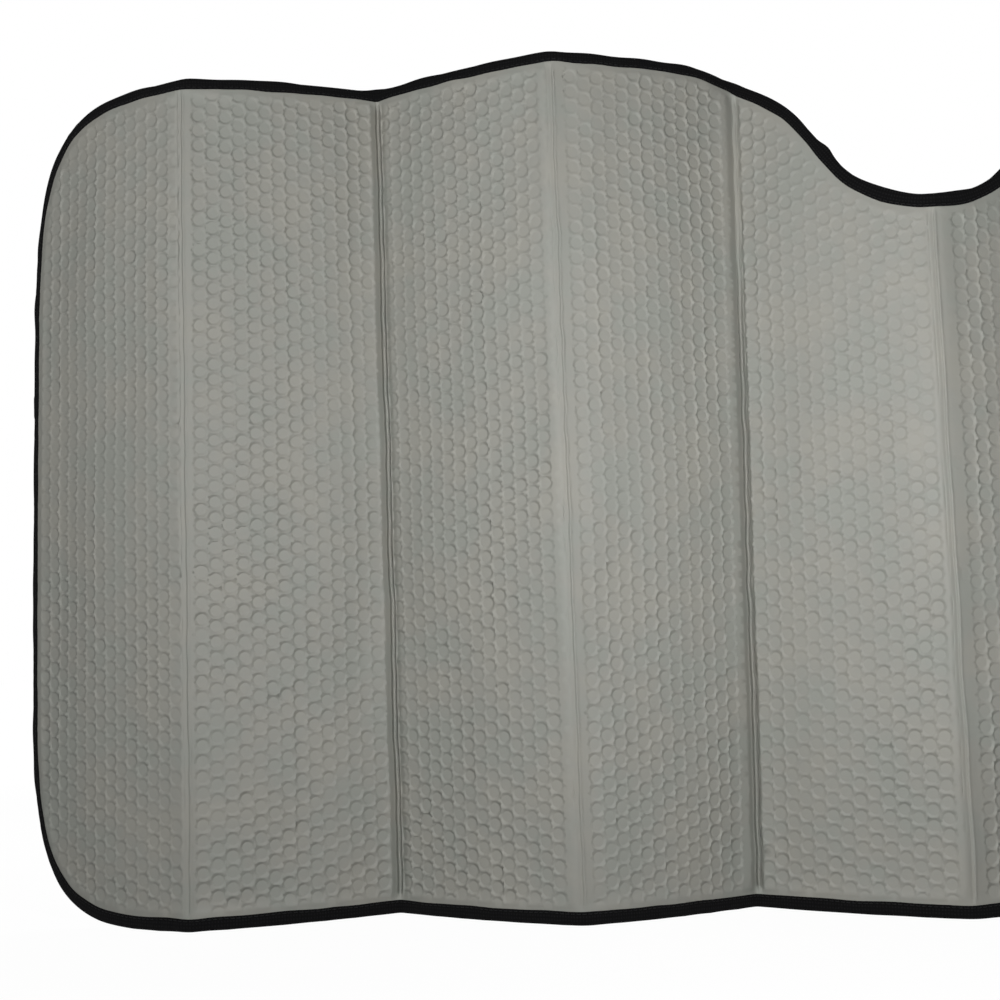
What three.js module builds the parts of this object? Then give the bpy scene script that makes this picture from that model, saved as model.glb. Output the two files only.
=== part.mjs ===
import * as THREE from 'three';

// Windscreen sunshade: one sheet of bubble foil folded like a concertina, with a fabric tape sewn over its
// edge. Millimetres, +Z up, +X along the windscreen. It stands on its foot edge, and the face that looks out
// through the glass is towards -Y. On the flat sheet, u runs along the foot from the left end, and z is up.

const degree = Math.PI / 180;

// The sheet, laid flat
const panelCount = 10;
const panelWidth = 160;
const sheetHeight = 669.5;
const crownFromEnd = 496;
const crownRadius = 6680;
const sideBow = 2.5;
const headCorner = { across: 130, along: 195, fullness: 3.5 };
const footCorner = { across: 145, along: 195, fullness: 3.5 };

// Mirror notch in the middle of the head edge: a round floor, two straight flanks and two round brims
const notchDepth = 125.5;
const notchFloorRadius = 94;
const notchBrimRadius = 148;
const notchFlankAngle = 53 * degree;

// Folds: each panel is turned by the tilt. A ridge points to -Y and a valley to +Y. The reach is half the
// width of the bend. The drift is how far each fold stands aside at its head and foot, from the end inwards.
const panelTilt = 25 * degree;
const ridgeReach = 6;
const valleyReach = 3.5;
const headDrift = [3.3, -1.4, -1.5, -0.8, 2.9];
const footDrift = [-1.3, -4, 4.1, 4, -4.9];

// Foil: full on the panels, pressed thin along each fold and under the tape
const foilThickness = 4;
const creaseThickness = 1.6;
const creaseReach = 9;
const rimThickness = 2;
const rimSlope = 6;

// Tape: how far it laps onto each face, and the join where its two ends lie over each other
const tapeThickness = 0.6;
const tapeGap = 0.3;
const tapeChamfer = 0.5;
const headLap = 7.6;
const footLap = 9.4;
const sideLap = 6.5;
const notchLap = 10;
const joinHeight = 413;
const joinLength = 18;
const joinStep = 2;

// Steps of the outline
const cornerSteps = 12;
const headStep = 56;
const notchStep = 15;

const sheetWidth = panelCount * panelWidth;
const middle = sheetWidth / 2;
const foldPitch = panelWidth * Math.cos(panelTilt);
const foldDepth = panelWidth * Math.sin(panelTilt);
const isRidge = (fold) => fold % 2 === 1;
const bendReach = (fold) => (isRidge(fold) ? ridgeReach : valleyReach);

// Sideways place of a fold: the drift is mirrored about the middle, where it ends
function drift(table, fold) {
  const fromEnd = Math.min(fold, panelCount - fold);
  const shift = table[fromEnd] ?? 0;
  return fold * 2 < panelCount ? shift : -shift;
}

function foldPoint(fold, z) {
  const up = z / sheetHeight;
  const shift = THREE.MathUtils.lerp(drift(footDrift, fold), drift(headDrift, fold), up);
  const x = (fold - panelCount / 2) * foldPitch + shift;
  return new THREE.Vector2(x, isRidge(fold) ? -foldDepth / 2 : foldDepth / 2);
}

// A point of the flat sheet, folded up: out is its distance from the middle of the foil, towards -Y
function folded(u, z, out) {
  const nearest = Math.round(u / panelWidth);
  const fromFold = u - nearest * panelWidth;
  const reach = bendReach(nearest);
  const inside = nearest > 0 && nearest < panelCount;
  let place;
  let along;
  if (inside && Math.abs(fromFold) < reach) {
    const apex = foldPoint(nearest, z);
    const before = foldPoint(nearest - 1, z).sub(apex).normalize().multiplyScalar(reach).add(apex);
    const after = foldPoint(nearest + 1, z).sub(apex).normalize().multiplyScalar(reach).add(apex);
    const bend = new THREE.QuadraticBezierCurve(before, apex, after);
    const share = (fromFold + reach) / (2 * reach);
    place = bend.getPoint(share);
    along = bend.getTangent(share);
  } else {
    const panel = THREE.MathUtils.clamp(Math.floor(u / panelWidth), 0, panelCount - 1);
    const from = foldPoint(panel, z);
    const to = foldPoint(panel + 1, z);
    along = to.clone().sub(from).normalize();
    place = from.lerp(to, u / panelWidth - panel);
  }
  const endShare = Math.max(0, 1 - Math.min(u, sheetWidth - u) / panelWidth);
  const bow = sideBow * endShare * (1 - (2 * z / sheetHeight - 1) ** 2);
  place.addScaledVector(along, u < middle ? -bow : bow);
  return new THREE.Vector3(place.x + out * along.y, place.y - out * along.x, z);
}

// Drop of the head edge below the crown's height
const flankRise = notchDepth - (notchFloorRadius + notchBrimRadius) * (1 - Math.cos(notchFlankAngle));
const floorReach = notchFloorRadius * Math.sin(notchFlankAngle);
const flankReach = floorReach + flankRise / Math.tan(notchFlankAngle);
const notchReach = flankReach + notchBrimRadius * Math.sin(notchFlankAngle);

function notchDrop(fromMiddle) {
  if (fromMiddle >= notchReach) {
    return 0;
  }
  if (fromMiddle > flankReach) {
    return notchBrimRadius - Math.sqrt(notchBrimRadius ** 2 - (notchReach - fromMiddle) ** 2);
  }
  if (fromMiddle > floorReach) {
    const flankTop = notchBrimRadius * (1 - Math.cos(notchFlankAngle));
    return flankTop + (flankReach - fromMiddle) * Math.tan(notchFlankAngle);
  }
  return notchDepth - notchFloorRadius + Math.sqrt(notchFloorRadius ** 2 - fromMiddle ** 2);
}

function crownDrop(u) {
  return Math.max(0, crownFromEnd - u) ** 2 / (2 * crownRadius);
}

// Left half of the outline: each point knows the way out of the sheet, scaled so that one unit is 1 mm
// square to the edge. Points at a fold and between folds go straight up or down, and the others go square out.
const cornerPoint = (corner, angle) => [
  corner.across * (1 - Math.cos(angle) ** (2 / corner.fullness)),
  corner.along * (1 - Math.sin(angle) ** (2 / corner.fullness)),
];

function headPoint(u) {
  const height = (at) => sheetHeight - crownDrop(at) - notchDrop(middle - at);
  const slope = (height(u + 0.01) - height(u - 0.01)) / 0.02;
  const steepness = Math.hypot(1, u < middle ? slope : 0);
  const lap = THREE.MathUtils.lerp(headLap, notchLap, Math.min(1, 3 * notchDrop(middle - u) / notchDepth));
  return { u, z: height(u), outU: 0, outZ: steepness, lap };
}

function footPoint(u) {
  return { u, z: 0, outU: 0, outZ: -1, lap: footLap };
}

function cornerRun(corner, place, lapAtEdge) {
  const run = [];
  for (let step = 0; step < cornerSteps; step += 1) {
    const angle = (step / cornerSteps) * (Math.PI / 2);
    const [u, drop] = cornerPoint(corner, angle);
    const [uNext, dropNext] = cornerPoint(corner, angle + 0.001);
    const [uLast, dropLast] = cornerPoint(corner, Math.max(0, angle - 0.001));
    const fromEdge = place(u, drop);
    const tangentU = uNext - uLast;
    const tangentZ = place(uNext, dropNext) - place(uLast, dropLast);
    const length = Math.hypot(tangentU, tangentZ);
    const sign = Math.sign(tangentZ);
    const edgeShare = (tangentU / length) ** 2;
    const lap = THREE.MathUtils.lerp(sideLap, lapAtEdge, edgeShare);
    run.push({ u, z: fromEdge, outU: (-sign * tangentZ) / length, outZ: (sign * tangentU) / length, lap });
  }
  return run;
}

// Places along the head or foot where the faces turn: across each bend and, on the head, along its curves
function creaseStations(from, to) {
  const places = [];
  for (let fold = 1; fold < panelCount; fold += 1) {
    const reach = bendReach(fold);
    for (const offset of [-creaseReach, -reach, -reach / 2, 0, reach / 2, reach, creaseReach]) {
      places.push(fold * panelWidth + offset);
    }
  }
  return places.filter((u) => u >= from && u <= to);
}

function between(from, to, step) {
  const count = Math.max(1, Math.round((to - from) / step));
  return Array.from({ length: count + 1 }, (_, index) => from + ((to - from) * index) / count);
}

function headStations() {
  const brim = middle - notchReach;
  const curves = [...between(headCorner.across, brim, headStep), ...between(brim, middle, notchStep)];
  const creases = creaseStations(headCorner.across + 1, middle);
  const clear = curves.filter((u) => creases.every((crease) => Math.abs(u - crease) > notchStep / 3));
  const ends = [headCorner.across, middle];
  return [...new Set([...clear, ...creases, ...ends])].sort((a, b) => a - b);
}

function leftHalf() {
  const head = headStations().reverse().map(headPoint);
  const headRun = cornerRun(headCorner, (u, drop) => sheetHeight - crownDrop(u) - drop, headLap).reverse();
  const footRun = cornerRun(footCorner, (u, drop) => drop, footLap);
  const join = joinLength / 2;
  const joinPlaces = [join + joinStep, join, -join, -join - joinStep].map((dz) => joinHeight + dz);
  const sides = joinPlaces.map((z) => ({ u: 0, z, outU: -1, outZ: 0, lap: sideLap }));
  const foot = [footCorner.across, ...creaseStations(footCorner.across + 1, middle)].map(footPoint);
  return [...head, ...headRun, ...sides, ...footRun, ...foot];
}

const left = leftHalf();
const mirrored = left.slice(1, -1).reverse().map((p) => ({ ...p, u: sheetWidth - p.u, outU: -p.outU }));
const outline = [...left, ...mirrored];
const outward = (p, distance) => ({ u: p.u + p.outU * distance, z: p.z + p.outZ * distance });

// Thickness of the foil away from its rim: pressed flat at each fold and full a little way off
function creasedThickness(u) {
  const nearest = THREE.MathUtils.clamp(Math.round(u / panelWidth), 1, panelCount - 1);
  const share = THREE.MathUtils.smoothstep(Math.abs(u - nearest * panelWidth), 0, creaseReach);
  return THREE.MathUtils.lerp(creaseThickness, foilThickness, share);
}

function meshFrom(name, vertices, triangles, colour, roughness) {
  const geometry = new THREE.BufferGeometry();
  const flat = vertices.flatMap((vertex) => [vertex.x, vertex.y, vertex.z]);
  geometry.setAttribute('position', new THREE.Float32BufferAttribute(flat, 3));
  geometry.setIndex(triangles.flat());
  geometry.computeVertexNormals();
  const material = new THREE.MeshStandardMaterial({ color: colour, roughness, metalness: 0 });
  const mesh = new THREE.Mesh(geometry, material);
  mesh.name = name;
  return mesh;
}

// The sheet: front and back skins over the same flat net, joined by a wall round the rim
function bubbleSheet() {
  const net = [];
  const faces = [];
  const addPoint = (place, thickness) => net.push({ ...place, thickness }) - 1;
  const pressed = (p) => outward(p, -(p.lap + tapeGap));
  const risen = (p) => outward(p, -(p.lap + tapeGap + rimSlope));
  const rim = outline.map((p) => addPoint(outward(p, 0), rimThickness));
  const band = outline.map((p) => addPoint(pressed(p), Math.min(rimThickness, creasedThickness(p.u))));
  const field = outline.map((p) => addPoint(risen(p), creasedThickness(risen(p).u)));
  const quad = (a, b, c, d) => faces.push([a, b, c], [a, c, d]);

  outline.forEach((_, index) => {
    const next = (index + 1) % outline.length;
    quad(rim[index], rim[next], band[next], band[index]);
    quad(band[index], band[next], field[next], field[index]);
  });

  // Inside the rim: one strip between each two neighbouring crease lines, a panel's field being the widest
  const creases = creaseStations(0, sheetWidth);
  const indexAt = (u, onHead) => outline.findIndex((p) => Math.abs(p.u - u) < 1e-6 && (p.outZ > 0) === onHead);
  const loop = (from, to) => {
    const length = (to - from + outline.length) % outline.length;
    return Array.from({ length: length + 1 }, (_, step) => field[(from + step) % outline.length]);
  };
  const strips = [];
  strips.push(loop(indexAt(creases[0], true), indexAt(creases[0], false)));
  for (let index = 1; index < creases.length; index += 1) {
    const foot = loop(indexAt(creases[index - 1], false), indexAt(creases[index], false));
    const head = loop(indexAt(creases[index], true), indexAt(creases[index - 1], true));
    strips.push([...foot, ...head]);
  }
  const last = creases.at(-1);
  strips.push(loop(indexAt(last, false), indexAt(last, true)));
  for (const strip of strips) {
    const contour = strip.map((index) => new THREE.Vector2(net[index].u, net[index].z));
    for (const face of THREE.ShapeUtils.triangulateShape(contour, [])) {
      faces.push(face.map((corner) => strip[corner]));
    }
  }

  const vertices = net.flatMap((p) => [folded(p.u, p.z, p.thickness / 2), folded(p.u, p.z, -p.thickness / 2)]);
  const triangles = faces.flatMap(([a, b, c]) => [[2 * a, 2 * b, 2 * c], [2 * a + 1, 2 * c + 1, 2 * b + 1]]);
  rim.forEach((here, index) => {
    const next = rim[(index + 1) % rim.length];
    triangles.push([2 * here, 2 * here + 1, 2 * next + 1], [2 * here, 2 * next + 1, 2 * next]);
  });
  return meshFrom('bubble_sheet', vertices, triangles, 0x96978f, 0.55);
}

// The tape: a U section swept round the outline, doubled where its two ends lie over each other
function tapeSection(p) {
  const inner = rimThickness / 2 + tapeGap;
  const joined = p.u === 0 && Math.abs(p.z - joinHeight) < joinLength / 2 + joinStep / 2;
  const skin = tapeThickness * (joined ? 2 : 1);
  const outer = inner + skin;
  const edge = -(tapeGap + skin);
  return [
    [p.lap, outer],
    [edge + tapeChamfer, outer],
    [edge, outer - tapeChamfer],
    [edge, tapeChamfer - outer],
    [edge + tapeChamfer, -outer],
    [p.lap, -outer],
    [p.lap, -inner],
    [-tapeGap, -inner],
    [-tapeGap, inner],
    [p.lap, inner],
  ];
}

function edgeBinding() {
  const sections = outline.map((p) => tapeSection(p).map(([inset, out]) => {
    const place = outward(p, -inset);
    return folded(place.u, place.z, out);
  }));
  const count = sections[0].length;
  const triangles = [];
  sections.forEach((_, index) => {
    const here = index * count;
    const there = ((index + 1) % sections.length) * count;
    for (let corner = 0; corner < count; corner += 1) {
      const next = (corner + 1) % count;
      triangles.push([here + corner, here + next, there + next], [here + corner, there + next, there + corner]);
    }
  });
  return meshFrom('edge_binding', sections.flat(), triangles, 0x161616, 0.95);
}

const sunshade = new THREE.Group();
sunshade.add(bubbleSheet(), edgeBinding());
const box = new THREE.Box3().setFromObject(sunshade, true);
const centre = box.getCenter(new THREE.Vector3());
sunshade.position.set(-centre.x, -centre.y, -box.min.z);

export default sunshade;
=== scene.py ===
import math

import bpy
import numpy as np
from mathutils import Matrix, Vector
from mathutils.geometry import delaunay_2d_cdt


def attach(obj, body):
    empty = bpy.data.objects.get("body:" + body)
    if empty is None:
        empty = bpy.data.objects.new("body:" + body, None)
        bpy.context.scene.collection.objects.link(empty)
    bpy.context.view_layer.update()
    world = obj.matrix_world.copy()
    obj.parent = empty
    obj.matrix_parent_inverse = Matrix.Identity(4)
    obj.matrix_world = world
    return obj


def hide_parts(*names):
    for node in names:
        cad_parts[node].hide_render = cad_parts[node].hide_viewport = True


# Folding windscreen sunshade: embossed bubble foil in ten panels, with a black tape sewn over its edge.
# The sheet is drawn flat first, in millimetres: u runs along the foot from the left end, z goes up.
# foldUp() then folds it into its concertina, in the frame's metres.

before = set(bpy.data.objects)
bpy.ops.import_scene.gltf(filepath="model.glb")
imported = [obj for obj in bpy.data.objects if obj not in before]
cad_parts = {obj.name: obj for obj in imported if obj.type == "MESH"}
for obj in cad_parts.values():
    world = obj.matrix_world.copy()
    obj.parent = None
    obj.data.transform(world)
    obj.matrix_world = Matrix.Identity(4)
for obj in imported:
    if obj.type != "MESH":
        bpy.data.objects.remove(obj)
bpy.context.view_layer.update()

cut = {
    "panels": 10,
    "panelWidth": 160.0,
    "height": 669.5,
    "crownFromEnd": 496.0,
    "crownRadius": 6680.0,
    "sideBow": 2.5,
    "headCorner": (130.0, 195.0, 3.5),      # across, along, fullness of the rounded corner
    "footCorner": (145.0, 195.0, 3.5),
    "notchDepth": 125.5,
    "notchFloorRadius": 94.0,
    "notchBrimRadius": 148.0,
    "notchFlank": math.radians(53),
}

folds = {
    "tilt": math.radians(25),
    "ridgeReach": 6.0,                      # half the width of the bend
    "valleyReach": 3.5,
    "headDrift": [3.3, -1.4, -1.5, -0.8, 2.9, 0.0, -2.9, 0.8, 1.5, 1.4, -3.3],
    "footDrift": [-1.3, -4.0, 4.1, 4.0, -4.9, 0.0, 4.9, -4.0, -4.1, 4.0, 1.3],
    "belly": 5.0,                           # how far each panel swells out between its folds
    "intoFrame": (0.0, -1.5256, 0.9),       # from the folded net to the frame
}

sheetWidth = cut["panels"] * cut["panelWidth"]
middle = sheetWidth / 2
foldPitch = cut["panelWidth"] * math.cos(folds["tilt"])
foldDepth = cut["panelWidth"] * math.sin(folds["tilt"])


def smoothStep(x, low, high):
    t = np.clip((x - low) / (high - low), 0, 1)
    return t * t * (3 - 2 * t)


def bell(x, width):
    return np.exp(-((x / width) ** 2))


def waves(seed, count, shortest, longest):
    # a smooth wandering line or field of about unit height, from a few sine waves
    rng = np.random.default_rng(seed)
    length = np.exp(rng.uniform(math.log(shortest), math.log(longest), count))
    turn = rng.uniform(0, 2 * math.pi, count)
    phase = rng.uniform(0, 2 * math.pi, count)

    def field(a, b=0.0):
        total = 0.0
        for n, t, p in zip(length, turn, phase):
            total = total + np.sin(2 * math.pi / n * (a * math.cos(t) + b * math.sin(t)) + p)
        return total * math.sqrt(2 / count)

    return field


def wavyLine(seed, count, shortest, longest):
    # the same along one direction only
    rng = np.random.default_rng(seed)
    length = np.exp(rng.uniform(math.log(shortest), math.log(longest), count))
    phase = rng.uniform(0, 2 * math.pi, count)

    def run(a):
        total = 0.0
        for n, p in zip(length, phase):
            total = total + np.sin(2 * math.pi / n * a + p)
        return total * math.sqrt(2 / count)

    return run


def foldLine(fold, z):
    # where a fold runs, seen from above; the odd folds are ridges towards the glass
    up = z / cut["height"]
    shift = np.array(folds["footDrift"])[fold] * (1 - up) + np.array(folds["headDrift"])[fold] * up
    x = (fold - cut["panels"] / 2) * foldPitch + shift
    y = np.where(fold % 2 == 1, -foldDepth / 2, foldDepth / 2)
    return np.stack([x, y], -1)


def unit(v):
    return v / np.linalg.norm(v, axis=-1, keepdims=True)


def foldUp(u, z, out):
    # out is the distance from the middle of the foil, towards the side that looks out through the glass
    width = cut["panelWidth"]
    nearest = np.clip(np.rint(u / width).astype(int), 0, cut["panels"])
    fromFold = u - nearest * width
    reach = np.where(nearest % 2 == 1, folds["ridgeReach"], folds["valleyReach"])
    inside = (nearest > 0) & (nearest < cut["panels"]) & (np.abs(fromFold) < reach)

    panel = np.clip(np.floor(u / width).astype(int), 0, cut["panels"] - 1)
    start = foldLine(panel, z)
    end = foldLine(panel + 1, z)
    along = unit(end - start)
    place = start + (end - start) * (u / width - panel)[:, None]

    apex = foldLine(nearest, z)
    before = apex + (foldLine(np.maximum(nearest - 1, 0), z) - apex) * (reach / width)[:, None]
    after = apex + (foldLine(np.minimum(nearest + 1, cut["panels"]), z) - apex) * (reach / width)[:, None]
    share = ((fromFold + reach) / (2 * reach))[:, None]
    bent = (1 - share) ** 2 * before + 2 * share * (1 - share) * apex + share ** 2 * after
    bentAlong = unit((1 - share) * (apex - before) + share * (after - apex) + 1e-12)
    place = np.where(inside[:, None], bent, place)
    along = np.where(inside[:, None], bentAlong, along)

    endShare = np.maximum(0, 1 - np.minimum(u, sheetWidth - u) / width)
    bow = cut["sideBow"] * endShare * (1 - (2 * z / cut["height"] - 1) ** 2)
    place = place + along * np.where(u < middle, -bow, bow)[:, None]

    across = np.clip(u / width - panel, 0, 1)
    near = (np.sqrt((width * np.minimum(across, 1 - across)) ** 2 + 9) - 3) / width
    swell = out + folds["belly"] * 4 * near * (1 - near)
    x = place[:, 0] + swell * along[:, 1]
    y = place[:, 1] - swell * along[:, 0]
    shift = folds["intoFrame"]
    return np.stack([x + shift[0], y + shift[1], z + shift[2]], -1) * 0.001


# where the notch's floor, flank and brim meet
brimRise = cut["notchBrimRadius"] * (1 - math.cos(cut["notchFlank"]))
floorRise = cut["notchFloorRadius"] * (1 - math.cos(cut["notchFlank"]))
floorReach = cut["notchFloorRadius"] * math.sin(cut["notchFlank"])
flankReach = floorReach + (cut["notchDepth"] - brimRise - floorRise) / math.tan(cut["notchFlank"])
notchReach = flankReach + cut["notchBrimRadius"] * math.sin(cut["notchFlank"])


def notchDrop(fromMiddle):
    # how far the notch cuts down from the head edge
    d = np.abs(fromMiddle)
    brim = cut["notchBrimRadius"] - np.sqrt(
        np.maximum(0, cut["notchBrimRadius"] ** 2 - np.clip(notchReach - d, 0, cut["notchBrimRadius"]) ** 2))
    flank = brimRise + (flankReach - d) * math.tan(cut["notchFlank"])
    floor = cut["notchDepth"] - cut["notchFloorRadius"] + np.sqrt(
        np.maximum(0, cut["notchFloorRadius"] ** 2 - np.minimum(d, cut["notchFloorRadius"]) ** 2))
    return np.where(d >= notchReach, 0, np.where(d > flankReach, brim, np.where(d > floorReach, flank, floor)))


def headHeight(u):
    # height of the head edge, which falls away from its crown towards both ends
    fromEnd = np.minimum(u, sheetWidth - u)
    crown = np.maximum(0, cut["crownFromEnd"] - fromEnd) ** 2 / (2 * cut["crownRadius"])
    return cut["height"] - crown - notchDrop(middle - u)


def cornerCurve(corner, count):
    # a rounded corner, between a quarter ellipse (fullness 2) and a square (large)
    across, along, fullness = corner
    angle = np.linspace(0, math.pi / 2, count)
    u = across * (1 - np.cos(angle) ** (2 / fullness))
    drop = along * (1 - np.sin(angle) ** (2 / fullness))
    return u, drop


def evenly(points, step):
    # the same run of points, with even steps
    run = np.concatenate([[0], np.cumsum(np.linalg.norm(np.diff(points, axis=0), axis=1))])
    count = max(2, int(round(run[-1] / step)) + 1)
    at = np.linspace(0, run[-1], count)
    return np.stack([np.interp(at, run, points[:, i]) for i in (0, 1)], -1)


def leftEdge(step):
    # head corner, side and foot corner of the left end, from the head down
    u, drop = cornerCurve(cut["headCorner"], 400)
    head = np.stack([u, headHeight(u) - drop], -1)[::-1]
    u, drop = cornerCurve(cut["footCorner"], 400)
    foot = np.stack([u, drop], -1)
    return evenly(np.concatenate([head, foot]), step)


def wholeOutline(step):
    # anticlockwise round the sheet, from the middle of the head towards the left end
    u = np.linspace(middle, cut["headCorner"][0], 4000)
    head = np.stack([u, headHeight(u)], -1)
    foot = np.array([[cut["footCorner"][0], 0.0], [middle, 0.0]])
    left = np.concatenate([head, leftEdge(0.5)[1:], foot[1:]])
    right = left[::-1][1:-1] * [-1, 1] + [sheetWidth, 0]
    return evenly(np.concatenate([left, right, left[:1]]), step)[:-1]


tape = {
    "headLap": 7.6,                 # how far the tape laps onto each face
    "footLap": 9.4,
    "sideLap": 4.6,
    "notchLap": 10.0,
    "inner": 1.3,                   # the tape's inside and outside, from the middle of the foil
    "outer": 1.9,
    "overhang": 0.9,                # the tape's bend stands this far beyond the foil's edge
    "joinHeight": 413.0,            # where the two ends of the tape lie over each other
    "joinLength": 18.0,
    "joinRise": 0.55,
    "edgeWobble": 0.45,             # how much the bent edge, the two sewn edges and the skin wander
    "frontLapWobble": 0.22,
    "backLapWobble": 0.3,
    "skinWobble": 0.22,
    "valleyPucker": 1.4,            # the tape bulges where a valley squeezes it
    "bump": (717, 1.6, 7),          # one bump on the notch's flank: place along the sheet, height, width
    "step": 2.5,
}


def lapAt(points, outward):
    # how far the tape laps over the foil at each point of the outline
    u, z = points[:, 0], points[:, 1]
    onSide = outward[:, 0] ** 4
    inNotch = (notchDrop(middle - u) / cut["notchDepth"]) ** 3
    head = tape["headLap"] * (1 - inNotch) + tape["notchLap"] * inNotch
    level = np.where(outward[:, 1] > 0, head, tape["footLap"])
    inCorner = (u < cut["headCorner"][0]) | (u > sheetWidth - cut["headCorner"][0])
    return np.where(inCorner, tape["sideLap"] * onSide + level * (1 - onSide), level)


def outwardOf(points):
    # the way out of the sheet at each point of its outline, which starts on the head edge
    ahead = np.roll(points, -1, 0) - np.roll(points, 1, 0)
    ahead = ahead / np.linalg.norm(ahead, axis=1, keepdims=True)
    out = np.stack([ahead[:, 1], -ahead[:, 0]], -1)
    return -out if out[0, 1] < 0 else out


rimPoints = wholeOutline(2.0)
rimOutward = outwardOf(rimPoints)
rimLaps = lapAt(rimPoints, rimOutward)


def insetFromRim(u, z):
    # distance in from the sheet's edge, the way inwards, and the tape's lap there
    inset = np.full(len(u), 99.0)               # far inside, where the rim doesn't matter
    way = np.zeros((len(u), 2))
    lap = np.full(len(u), 8.0)
    fromEnd = np.minimum(u, sheetWidth - u)
    # only points by the edge, the notch or a corner are measured
    near = (z < 26) | (fromEnd < 26) | (headHeight(u) - z < 60) | ((fromEnd < 150) & ((z < 200) | (z > 440)))
    index = np.flatnonzero(near)
    for part in np.array_split(index, max(1, len(index) // 1500)):
        if len(part) == 0:
            continue
        du = u[part, None] - rimPoints[None, :, 0]
        dz = z[part, None] - rimPoints[None, :, 1]
        closest = np.argmin(du * du + dz * dz, axis=1)
        out = rimOutward[closest]
        rows = np.arange(len(part))
        inset[part] = -(du[rows, closest] * out[:, 0] + dz[rows, closest] * out[:, 1])
        way[part] = -out
        lap[part] = rimLaps[closest]
    return inset, way, lap


print("flat sheet drawn")

# The foil: each face of a panel is a net of points on the flat sheet, denser round the bubbles and folds.
foil = {
    "half": 2.0,                    # half the thickness of a panel, and of the foil under the tape
    "rimHalf": 1.05,
    "creaseReach": 9.0,             # a ridge has its own thickness, which reaches this far
    "bubblePitch": 12.05,           # up a column; columns stand 10.4 mm apart, each half a pitch off the last
    "bubbleFloor": 3.8,             # radius of a dimple's floor, and of its brim, past where it meets the next
    "bubbleBrim": 7.1,
    "bubbleDepth": 0.96,
    "bubbleSquash": 0.99,           # a bubble is a hair taller than it is wide
    "bubbleLean": 0.12,             # deeper by this share at its head side
    "headPress": [0.9, 1.5, 1.1, 1.0, 0.9, 0.9, 1.0, 1.1, 1.5, 0.9],      # how deep each panel is embossed
    "footPress": [1.3, 1.25, 1.35, 1.0, 1.2, 1.2, 1.0, 1.35, 1.25, 1.3],
    "deepest": 1.7,                 # so that the two faces never meet
    "depthDrift": 0.15,             # slow changes in depth over the sheet
    "placeSpread": (0.09, 0.11),    # unevenness of the embossing roll: across and up, size, and depth
    "sizeSpread": 0.022,
    "depthSpread": 0.18,
    "slack": 0.55,                  # how far a panel slumps in and out
    "backShare": 0.55,              # the back is embossed this much as deep
    "rowStep": 5.2,                 # between the rows of points up a fold
    "slotAside": 1.6,               # a valley has two slots with a bead between them
    "seamHeight": 0.26,             # a few seams between columns of bubbles stand up a little
    "boldSeams": [28, 63, 90, 125], # columns where a seam is creased, the more so towards the head
    "boldSeam": 1.5,                # times seamHeight, reached between these heights
    "boldFrom": (180, 420),
    "rings": {                      # points round a bubble on each face: radius and count
        1: [(3.8, 10), (4.7, 10), (5.45, 10)],
        -1: [(3.8, 8), (5.4, 8)],
    },
}
# The pressed lines, one value for each fold from the left end; 1 and -1 hold what differs between the faces.
creases = {
    "asideHead": [0, -3.4, 0.2, -0.6, -0.6, -4.0, 0.6, 0.6, -0.2, 3.4, 0],  # how far a line lies from its fold
    "asideFoot": [0, 0.8, 0.2, 0.4, 2.4, 2.0, -2.4, -0.4, -0.2, -0.8, 0],
    "diveLeft": [0, 8, 7.5, 8, 8.5, 8, 5, 8, 8, 8, 0],                     # how wide the foil rolls into a valley
    "diveRight": [0, 8, 8, 8, 5, 8, 8.5, 8, 7.5, 8, 0],
    "clearLeft": [0, 6, 7, 6, 8.5, 7, 3.2, 6, 3.2, 6, 0],                   # how far the bubbles keep from a fold
    "clearRight": [0, 6, 3.2, 6, 3.2, 7, 8.5, 6, 7, 6, 0],
    "wander": 0.28,                 # how much each line wavers
    "softHead": [4, 6],             # these valleys lose this share of their slots beside the notch
    "softShare": 0.8,
    "softFrom": (420, 560),
    1: {"ridgeHalf": 1.8, "valleyFloor": -0.5, "slotDepth": 2.4, "beadHeight": 0.85, "grooveDepth": 0.9},
    -1: {"ridgeHalf": 3.3, "valleyFloor": 0.25, "slotDepth": 0.9, "beadHeight": 0.6, "grooveDepth": 0.2},
}

columnPitch = foil["bubblePitch"] * math.sqrt(3) / 2
columnCount = int(sheetWidth / columnPitch) + 3
rowCount = int(cut["height"] / foil["bubblePitch"]) + 4
# columns of points beside a line, close enough to draw its slots
bandColumns = np.array([0, 0.4, 0.77, 0.9, 1.52, 1.68, 2.3, 2.43, 2.9, 3.6])


def scatterBubbles(seed):
    # where the bubbles of one face lie, how large they are and how deep
    rng = np.random.default_rng(seed)
    spreadU, spreadZ = foil["placeSpread"]
    column, row = np.meshgrid(np.arange(columnCount), np.arange(rowCount), indexing="ij")
    u = (column - 0.6) * columnPitch + rng.normal(0, spreadU, column.shape)
    z = (row - 1 + 0.5 * (column % 2)) * foil["bubblePitch"] + rng.normal(0, spreadZ, column.shape)
    return {
        "u": u,
        "z": z,
        "size": np.clip(rng.normal(1, foil["sizeSpread"], column.shape), 0.94, 1.035),
        "depth": np.clip(rng.normal(1, foil["depthSpread"], column.shape), 0.5, 1.45),
    }


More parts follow.
